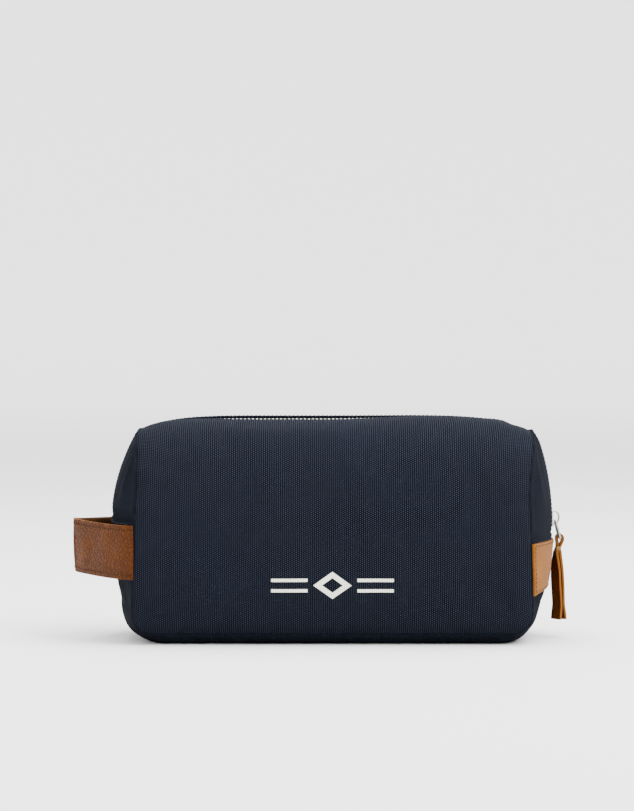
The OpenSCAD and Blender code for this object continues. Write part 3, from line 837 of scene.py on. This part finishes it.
def chain_line(y, start):
    """Line of the zip at depth y, from its right end over the crown to its left end.

    It starts and ends that far above the ends of the zip, and has a point every 0.5."""
    def up(z_low, sign):
        zs = np.linspace(z_low, END_H - 2.2, 60)
        hd = np.maximum(half_depth(zs), y + 1.5)
        wide = end_mid(zs, sign) - seam_x(zs) - seam_out(zs, sign)
        sag = wide * (y / hd) ** 2 if y > 3 else 0 * zs
        a = np.where(zs >= BULGE_Z, WIDE_X - ARC_R + np.sqrt((ARC_R - INSET) ** 2 - (zs - BULGE_Z) ** 2),
                     mid_x(zs) - INSET)
        return np.stack([a - sag - mid_x(zs) + end_mid(zs, sign), zs], 1)
    right, left = up(ZIP_LOW[1] + start, 1), up(ZIP_LOW[-1] + start, -1)[::-1] * np.array([-1, 1])
    c = np.linspace(1, -1, 161)
    rise = (1 - (y / BELLY) ** (2 / ROUND)) ** (ROUND / 2)
    cx = c * (TOP_X - INSET - 1.5) + np.sign(c) * (seam_out(END_H, c) - 1) * smooth((np.abs(c) - 0.6) / 0.4)
    mid = np.stack([cx, BELLY_Z + (crown(c) - INSET - BELLY_Z) * rise], 1)
    line = np.concatenate([right, mid, left])
    d = run_length(line)
    s = np.arange(0, d[-1], 0.5)
    p = sample(s, d, line)
    k = np.exp(-np.linspace(-2.5, 2.5, 25) ** 2)
    k /= k.sum()
    pad = np.concatenate([2 * p[0] - p[12:0:-1], p, 2 * p[-1] - p[-2:-14:-1]])
    return np.stack([np.convolve(pad[:, q], k, "valid") for q in range(2)], 1), s


def lift_crown(x, z, side, y):
    """The chain stands up between the folds over the middle of the crown."""
    drop = 1.2 - (0.0 if side <= 0 else 1.3 * min(1, max(0, (y - 3) / 4)))
    return z - crown_dip(z, x / TOP_X) * drop


for side, face in FACES:
    lines = []
    for y in np.linspace(2.4, 9.0, 12):
        p = chain_line(y, -3.0)[0]
        px, pz = sample(np.linspace(0, len(p) - 1, 640), np.arange(len(p)), p).T
        pz = lift_crown(px, pz, side, y)
        if side < 0:
            pz = pz - 0.8 * smooth((y - 3) / 4) * crown_dip(pz, px / TOP_X)
        lines.append(np.stack([px, np.full(len(px), side * y), pz], 1))
    P = np.stack(lines, 1)
    P = outward(P, np.broadcast_to(MIDDLE, P.shape))[0]
    P = P + normals(P) * 0.22  # about half of the tape's thickness
    ob = cloth(face + "_tape", P, TAPE_T, [tape_black], uv=cloth_uv(P, 0))
    on_wall(ob)
    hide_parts(face + "_zip_tape")

line, s_line = chain_line(0.0, 0.3)
line[:, 1] = lift_crown(line[:, 0], line[:, 1], 0, 0)
line_t = unit(np.gradient(line, axis=0))


# section of a tooth: a square with its corners cut
OCTAGON = ((-1, -0.6), (-0.6, -1), (0.6, -1), (1, -0.6), (1, 0.6), (0.6, 1), (-0.6, 1), (-1, 0.6))


def chain_at(s):
    """A place at length s along the chain: its point, direction and outward normal, in x and z."""
    t = unit(sample(s, s_line, line_t))
    return sample(s, s_line, line), t, np.array([t[1], -t[0]])


def tooth(side, cross, verts, faces, at, t, n, length=1.15, tall=1.1):
    """One tooth: a waisted body that grips the tape, and a head that meets the other row."""
    prof = [(3.3, 0.34, 0.95), (2.7, 0.5, 1.0), (2.1, 0.5, 1.0), (1.6, 0.42, 0.9), (1.1, 0.42, 0.86),
            (0.6, 0.52, 0.98), (0.1, 0.5, 0.95), (-0.35, 0.3, 0.7)]
    base = len(verts)
    for y, half, up in prof:
        y = max(y, -cross) if cross > 0 else max(y, 0.3)
        for a, b in OCTAGON:
            off = t * a * half * length + n * b * up * tall
            verts.append([at[0] + off[0], side * y, at[1] + off[1]])
    faces += [f[::side] for f in tube(base, len(prof), len(OCTAGON))]


PITCH = 2.5  # from tooth to tooth
start_s = float(np.interp(slide_hi[2] + 2.0, line[:400, 1], s_line[:400]))
for side, face in FACES:
    verts, faces = [], []
    s = start_s + (PITCH / 2 if side > 0 else 0)
    while s < s_line[-1] - 3:
        at, t, n = chain_at(s)
        if side > 0:
            at[1] -= 0.6 * smooth((at[1] - DIP_Z) / DIP_RISE)
        guided = at[0] > 60 and at[1] < 123  # on the slider's way no head crosses the middle
        tooth(side, 0.0 if guided else 0.35, verts, faces, at, t, n)
        s += PITCH
    ob = mesh_object(face + "_teeth", verts, faces, [silver_teeth])
    on_wall(ob)
    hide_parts(face + "_zip_teeth")
    # end stop, a clip pressed over the cord of the tape
    verts, faces = [], []
    tooth(side, 0.0, verts, faces, *chain_at(2.0), 1.7, 1.15)
    ob = mesh_object(face + "_stop_clip", verts, faces, [silver])
    on_wall(ob)
    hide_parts(face + "_zip_stop")


# ---- slider, bridge, link and base board ----

SX, SZ = WIDE_X - INSET, BULGE_Z  # middle of the slider
SL = slide_hi[2] - slide_lo[2]
SW = slide_hi[1] - slide_lo[1]
CHAN = 1.45  # half of the gap between the two plates
PLATE = 1.2  # thickness of a plate


def slab(outline_pts, x0, depth):
    """Prism in the slider's place: an outline in y and z, from x0 outwards by depth."""
    n = len(outline_pts)
    verts = [(SX + x0 + k, y, SZ + z) for k in (0.0, depth) for y, z in outline_pts]
    faces = [list(range(n))[::-1], list(range(n, 2 * n))]
    faces += [[i, (i + 1) % n, n + (i + 1) % n, n + i] for i in range(n)]
    return verts, faces


def join_parts(name, parts, materials, bevel, segments=2):
    """One mesh of several (points, faces), its hard edges softened by bevel millimetres."""
    verts, faces = [], []
    for v, f in parts:
        base = len(verts)
        verts += list(v)
        faces += [[base + i for i in q] for q in f]
    ob = mesh_object(name, verts, faces, materials)
    bm = bmesh.new()
    bm.from_mesh(ob.data)
    bmesh.ops.recalc_face_normals(bm, faces=bm.faces)
    bm.to_mesh(ob.data)
    bm.free()
    if bevel:
        soften(ob, bevel * 0.001, segments, 35)
    return ob


# a plate has broad shoulders where the rows part, and is narrow at the chain
half, long = SW / 2, SL / 2
plate = [(half * w, z) for z, w in (
    (-long, 0.52), (-long + 0.5, 0.68), (-long + 1.5, 0.78), (-0.8, 0.84), (1.4, 0.97),
    (3.0, 1.0), (long - 1.2, 0.93), (long - 0.3, 0.7), (long, 0.42))]
plate += [(-y, z) for y, z in plate[::-1]]
parts = [slab(plate, x0, PLATE) for x0 in (CHAN, -CHAN - PLATE)]
for s in (-1, 1):
    y0, y1 = s * SW * 0.40, s * SW * 0.475
    flange = [(y0, -3.2), (y1, -2.6), (y1, 3.6), (y0, 4.2)]
    parts += [slab(flange, x0, CHAN - 0.6) for x0 in (-CHAN - 0.2, 0.8)]
wedge = [(-0.2, -5.0), (0.2, -5.0), (0.25, -3.2), (-0.25, -3.2)]
parts.append(slab(wedge, -CHAN - 0.2, 2 * CHAN + 0.4))
body = join_parts("slider_body", parts, [silver], 0.28, 3)
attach(body, "slider")
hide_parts("zip_slider")

# bridge: a bent strap, broader where it meets the plate
bx = SX + CHAN + PLATE - 0.4
BRIDGE_OUT, BRIDGE_HALF = 4.1, 4.25
path = np.array([(bx + BRIDGE_OUT * math.sin(a) ** 0.8, -BRIDGE_HALF * signed_power(math.cos(a), 0.85))
                 for a in np.linspace(0.06, math.pi - 0.06, 25)])
T = unit(np.gradient(path, axis=0))
Nn = np.stack([T[:, 1], -T[:, 0]], 1)
verts = []
cs = 12
for i, (p, n) in enumerate(zip(path, Nn)):
    f = abs(2 * i / (len(path) - 1) - 1)
    half_w = mix(1.35, 1.75, f ** 2)
    for h in range(cs):
        b = 2 * math.pi * h / cs
        cy, cn = signed_power(math.cos(b), 0.5) * half_w, signed_power(math.sin(b), 0.5) * 0.58
        verts.append([p[0] + n[0] * cn, cy, SZ + p[1] + n[1] * cn])
bridge = join_parts("slider_bridge", [(verts, tube(0, len(path), cs))], [silver], 0)
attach(bridge, "slider")

for node, look in (("pull_link", silver), ("base_board", board_black)):
    slots = frame["nodes"][node].data.materials
    slots.clear()
    slots.append(look)


# ---- leather puller: one strip folded through the link ----

joints = {j["name"]: j for j in frame["joints"]}
pivot = np.array(joints["puller_swing"]["pos_m"]) * 1000
R_IN = 1.0  # inside of the fold, round the link
LOW = pull_lo[2] - pivot[2]
NECK, GAP = -4.2, 0.18  # where the two legs close up, and half of the gap there
leg = []
for z in np.linspace(LOW, NECK, 40):
    f = (z - LOW) / (NECK - LOW)
    gap = GAP + 1.1 * (1 - smooth(f / 0.22)) + 0.32 * math.exp(-((f - 0.5) / 0.2) ** 2)
    leg.append((-gap, z))
leg += [(-mix(GAP, R_IN, smooth(q)), mix(NECK, -0.3, q)) for q in np.linspace(0.1, 0.95, 8)]
top = [(-R_IN * math.cos(a), R_IN * math.sin(a)) for a in np.linspace(0, math.pi, 15)]
line2 = np.array(leg + top + [(-x, z) for x, z in leg[::-1]])
tt = unit(np.gradient(line2, axis=0))
nn = np.stack([-tt[:, 1], tt[:, 0]], 1)
PW = pull_hi[1] - pull_lo[1]
across = np.linspace(-1, 1, 13)


def puller_place(x, y, z):
    """Twists the hanging end a little towards the front."""
    a = math.radians(38) * smooth((-z - 2) / 22)
    sway = 0.9 * smooth((-z - 14) / 36) - 0.2 * np.exp(-((-z - 20) / 13) ** 2) - 1.2 * smooth((-z - 1) / 8)
    return np.stack([pivot[0] + x * np.cos(a) - y * np.sin(a) + sway,
                     x * np.sin(a) + y * np.cos(a), pivot[2] + z], -1)


def puller_grid(offset):
    """A face of the folded strip, offset outwards from its inner face."""
    x = line2[:, 0] + nn[:, 0] * offset
    z = line2[:, 1] + nn[:, 1] * offset
    X, Zz = (np.repeat(a[:, None], len(across), 1) for a in (x, z))
    neck = 1 - 0.16 * np.exp(-((Zz + 6.2) / 1.6) ** 2) * (np.abs(Zz) > 2)
    Y = across[None, :] * PW / 2 * neck * (1 + 0.05 * smooth((-Zz - 40) / 8))
    pinch = 1 - 0.3 * np.exp(-((Zz + 6.2) / 1.4) ** 2) * (offset > 0.5)
    return puller_place(X * pinch, Y, Zz)


outer, inner = outward(puller_grid(PULLER_T), puller_grid(0.0))
ob = cloth("puller_strip", outer, PULLER_T, [hide_brown, edge_tan], rim=1, inside=inner)
soften(ob, EDGE_ROUND)
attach(ob, "puller")
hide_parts("leather_puller")

# binding below the link, and a row of stitches down each edge
turn = np.linspace(0, 2 * math.pi, 49)
x = signed_power(np.cos(turn), 0.35) * (PULLER_T * 0.72 + 0.28)
y = signed_power(np.sin(turn), 0.35) * (PW / 2 * 0.86)
THREAD_R = 0.27
verts, faces = [], []
for k in range(5):
    p = puller_place(x, y, -5.3 - 0.52 * k + 0.12 * np.sin(turn + k))[:-1]
    m = len(p)
    t = unit(np.roll(p, -1, 0) - np.roll(p, 1, 0))
    upv = np.array([0, 0, 1.0])
    nrm = unit(np.cross(t, upv))
    base = len(verts)
    for i in range(m):
        for h in range(6):
            b = 2 * math.pi * h / 6
            verts.append(p[i] + (nrm[i] * math.cos(b) + upv * math.sin(b)) * THREAD_R)
            g, j = (h + 1) % 6, (i + 1) % m
            faces.append([base + i * 6 + h, base + j * 6 + h, base + j * 6 + g, base + i * 6 + g])
ob = join_parts("puller_binding", [(verts, faces)], [thread_pale], 0)
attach(ob, "puller")
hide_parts("puller_stitch")
ON = normals(outer)
lines = [stitch_row(outer, ON, (leg, j), 0.02) for j in (2, -3) for leg in (slice(3, 37), slice(-37, -3))]
ob = stitch_mesh("puller_edge_stitches", lines, thread_dark, 1.7, 2.4, 0.2)
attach(ob, "puller")


# ---- carry loop ----

LOOP_LOW, LOOP_H = loop_lo[2], loop_hi[2] - loop_lo[2]
FOLD_R = 12.0  # outside of the fold
LEG = 34  # points along each leg
FX = loop_lo[0] + FOLD_R
zc = LOOP_LOW + LOOP_H / 2
root = np.array([-(seam_x(zc) + 2.6), float(half_depth(zc)) - 2.2])
dx = root[0] - FX
span = math.hypot(dx, root[1])
run = math.sqrt(span ** 2 - FOLD_R ** 2)
lean = math.atan2(root[1], dx) - math.asin(FOLD_R / span)


def loop_plan(r, ends):
    """Plan of one layer at radius r, from the front root round the fold to the rear root."""
    pts = []
    for k in np.linspace(1, 0, LEG):
        d = run * k * ends
        bow = 1.6 * math.sin(math.pi * k)
        x = d * math.cos(lean) - (r + bow) * math.sin(lean)
        y = d * math.sin(lean) + (r + bow) * math.cos(lean)
        tuck = 0.0 if ends < 1 else smooth((k - 0.8) / 0.2)
        end = (-seam_x(zc) - 0.4 - FX, float(half_depth(zc)) - 2.6 - (FOLD_R - r))
        pts.append((mix(x, end[0], tuck), -mix(y, end[1], tuck)))
    for a in np.linspace(math.radians(270) - lean, math.radians(90) + lean, LEG)[1:-1]:
        pts.append((r * math.cos(a), r * math.sin(a)))
    p = np.array(pts)
    rear = p[:LEG][::-1] * np.array([1, -1])
    return np.concatenate([p, rear])


def loop_grid(r, ends, trim=0.0):
    """A face of the loop at fold radius r, along the share ends of each leg."""
    plan = loop_plan(r, ends)
    h = np.linspace(0, 1, 25)
    s = np.linspace(-1, 1, len(plan))
    crest = smooth(1 - np.abs(s) / 0.9)
    drop = 1.7 * crest
    Z = LOOP_LOW + trim + (LOOP_H - 2 * trim) * h[None, :] + (drop + 0.5)[:, None]
    flare = (h[None, :] - 0.5) * 0.9 * crest[:, None]
    N = unit(np.stack([np.gradient(plan[:, 1]), -np.gradient(plan[:, 0])], 1))
    cup = -0.5 * (2 * h - 1) ** 2
    sag = 0.35 * waves(s * 60, 17, 91)[:, None] * np.sin(math.pi * h)[None, :]
    dent = cup[None, :] + sag
    return np.stack([FX + plan[:, :1] - flare - N[:, :1] * dent, plan[:, 1:] - N[:, 1:] * dent, Z], 2)


A, B = outward(loop_grid(FOLD_R, 1.03), loop_grid(FOLD_R - LOOP_T, 1.03))
ob = cloth("loop_leather", A, LOOP_T, [hide_tan, edge_tan], rim=1, inside=B)
soften(ob, 0.00035)
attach(ob, "bag")
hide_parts("carry_loop")
seat = FOLD_R - LOOP_T - 0.05
A2, B2 = outward(loop_grid(seat, 0.9, 0.15), loop_grid(seat - BACKING_T, 0.9, 0.15))
ob = cloth("loop_backing", A2, BACKING_T, [back_tan, edge_tan], rim=1, inside=B2)
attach(ob, "bag")
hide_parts("carry_loop_backing")
lines = [stitch_row(F, N, (slice(2, -2), j), 0.03)
         for F, N in ((A, normals(A)), (B2, -normals(B2))) for j in (2, -3)]
ob = stitch_mesh("loop_stitches", lines, thread_dark, 1.95, 2.6, 0.26)
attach(ob, "bag")


# ---- end patch ----

right = G if G[0, 0, 1] < 0 else G[:, ::-1]
PATCH_LOW, PATCH_H = 30.0, 32.0
rows_right = np.arange(len(right) // 2 + 8, len(right))
seam_zs = right[rows_right, 0, 2]


def patch_point(z, v):
    """Point on the right end at seam height z and share v across it."""
    i = np.interp(z, seam_zs, rows_right)
    lo = min(int(i), len(right) - 2)
    row = mix(right[lo], right[lo + 1], i - lo)
    return sample(v, V, row)


Pg = np.array([[patch_point(PATCH_LOW + PATCH_H * a, v) for v in np.linspace(-0.99, 0.99, 57)]
               for a in np.linspace(0, 1, 22)])
for _ in range(3):
    Pg[1:-1, 1:-1] = (Pg[1:-1, 1:-1] * 2 + Pg[:-2, 1:-1] + Pg[2:, 1:-1] + Pg[1:-1, :-2] + Pg[1:-1, 2:]) / 6
if normals(Pg)[..., 0].mean() < 0:
    Pg = Pg[:, ::-1]
Pg = Pg + normals(Pg) * (PATCH_T + 0.2)
ob = cloth("end_patch_leather", Pg, PATCH_T, [hide_smooth, edge_tan], rim=1)
soften(ob, EDGE_ROUND)
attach(ob, "bag")
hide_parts("end_patch")
PN = normals(Pg)
inside = slice(1, -1)
lines = [stitch_row(Pg, PN, at, 0.02) for at in ((1, inside), (-2, inside), (inside, 1), (inside, -2))]
ob = stitch_mesh("end_patch_stitches", lines, thread_dark, 1.8, 2.5, 0.22)
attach(ob, "bag")


# ---- slip pocket on the rear lining ----

px = np.linspace(-1, 1, 61) * (pocket_hi[0] - pocket_lo[0]) / 2
pz = np.linspace(pocket_lo[2], pocket_hi[2], 30)
Yp = -np.interp(pz, row_z, -walls[1][:, COLS // 2, 1])[:, None]
rise = smooth((pz - pz[0]) / (pz[-1] - pz[0]) * 1.2)[:, None]
slack = 1.6 * rise * np.cos(px / px[-1] * math.pi / 2)[None, :] ** 0.6
slack = slack * (1 + 0.25 * waves(px, 38, 77))[None, :]
X, Zg = np.meshgrid(px, pz)
Q = turned(np.stack([X, Yp + 3.3 + slack, Zg], 2))
ob = cloth("pocket_cloth", Q, 0.45, [inner_cloth])
on_wall(ob)
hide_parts("slip_pocket")


# ---- stage, light and camera ----

def bowl():
    """Studio floor that turns up far away on every side."""
    flat_r, turn_r, seg = 4500.0, 2200.0, 64
    prof = [(r, 0.0) for r in (0.0, 600.0, 1500.0, 3000.0, flat_r)]
    prof += [(flat_r + turn_r * math.sin(a), turn_r - turn_r * math.cos(a))
             for a in np.linspace(0, math.pi / 2, 12)[1:]]
    prof += [(flat_r + turn_r, 3400.0)]
    verts = [(0, 0, 0)]
    for r, z in prof[1:]:
        verts += [(r * math.cos(a), r * math.sin(a), z) for a in np.arange(seg) * 2 * math.pi / seg]
    faces = [[0, 1 + k, 1 + (k + 1) % seg] for k in range(seg)]
    for j in range(len(prof) - 2):
        a, b = 1 + j * seg, 1 + (j + 1) * seg
        faces += [[a + k, b + k, b + (k + 1) % seg, a + (k + 1) % seg] for k in range(seg)]
    p = Paint("studio_floor", rough=0.9, spec=0.1)
    n = p.node("VectorMath", Vector=p.place())
    n.operation = "LENGTH"
    # painted light: the floor is painted grey round the bag and turns near white from 1.5 m to 5.5 m out,
    # so the far floor and walls read as a brightly lit backdrop
    colour = p.blend((0.67, 0.67, 0.67), (0.97, 0.97, 0.97), p.step(n.outputs["Value"], 1500.0, 5500.0))
    return mesh_object("studio_floor", verts, faces, [p.done(colour)])


floor = bowl()
floor.location.z = -0.0002

world = bpy.data.worlds.new("studio")
bpy.context.scene.world = world
world.use_nodes = True
sky = world.node_tree.nodes["Background"].inputs
sky["Color"].default_value, sky["Strength"].default_value = (1.0, 1.0, 1.0, 1.0), 2.85


def aimed(ob, at, aim):
    """Puts a lamp or the camera at one point, looking at another."""
    bpy.context.scene.collection.objects.link(ob)
    ob.location = at
    ob.rotation_mode = "QUATERNION"
    ob.rotation_quaternion = (Vector(aim) - Vector(at)).to_track_quat("-Z", "Y")


def lamp(name, at, size, power):
    data = bpy.data.lights.new(name, "AREA")
    data.shape = "RECTANGLE"
    data.size, data.size_y = size
    data.energy = power
    aimed(bpy.data.objects.new(name, data), at, (0, 0, 0.07))


lamp("key", (1.1, -0.7, 1.6), (1.2, 1.2), 72)
lamp("top", (0.1, 0.2, 1.7), (1.6, 1.2), 66)
lamp("fill", (-1.6, -1.5, 0.9), (1.4, 1.4), 10)

camera = bpy.data.objects.new("camera", bpy.data.cameras.new("camera"))
aimed(camera, (-0.0094, -1.8, 0.197), (-0.0094, 0, 0.145))
camera.data.sensor_width = 36.0
camera.data.lens = 127.8
camera.data.clip_start, camera.data.clip_end = 0.02, 60
bpy.context.scene.camera = camera
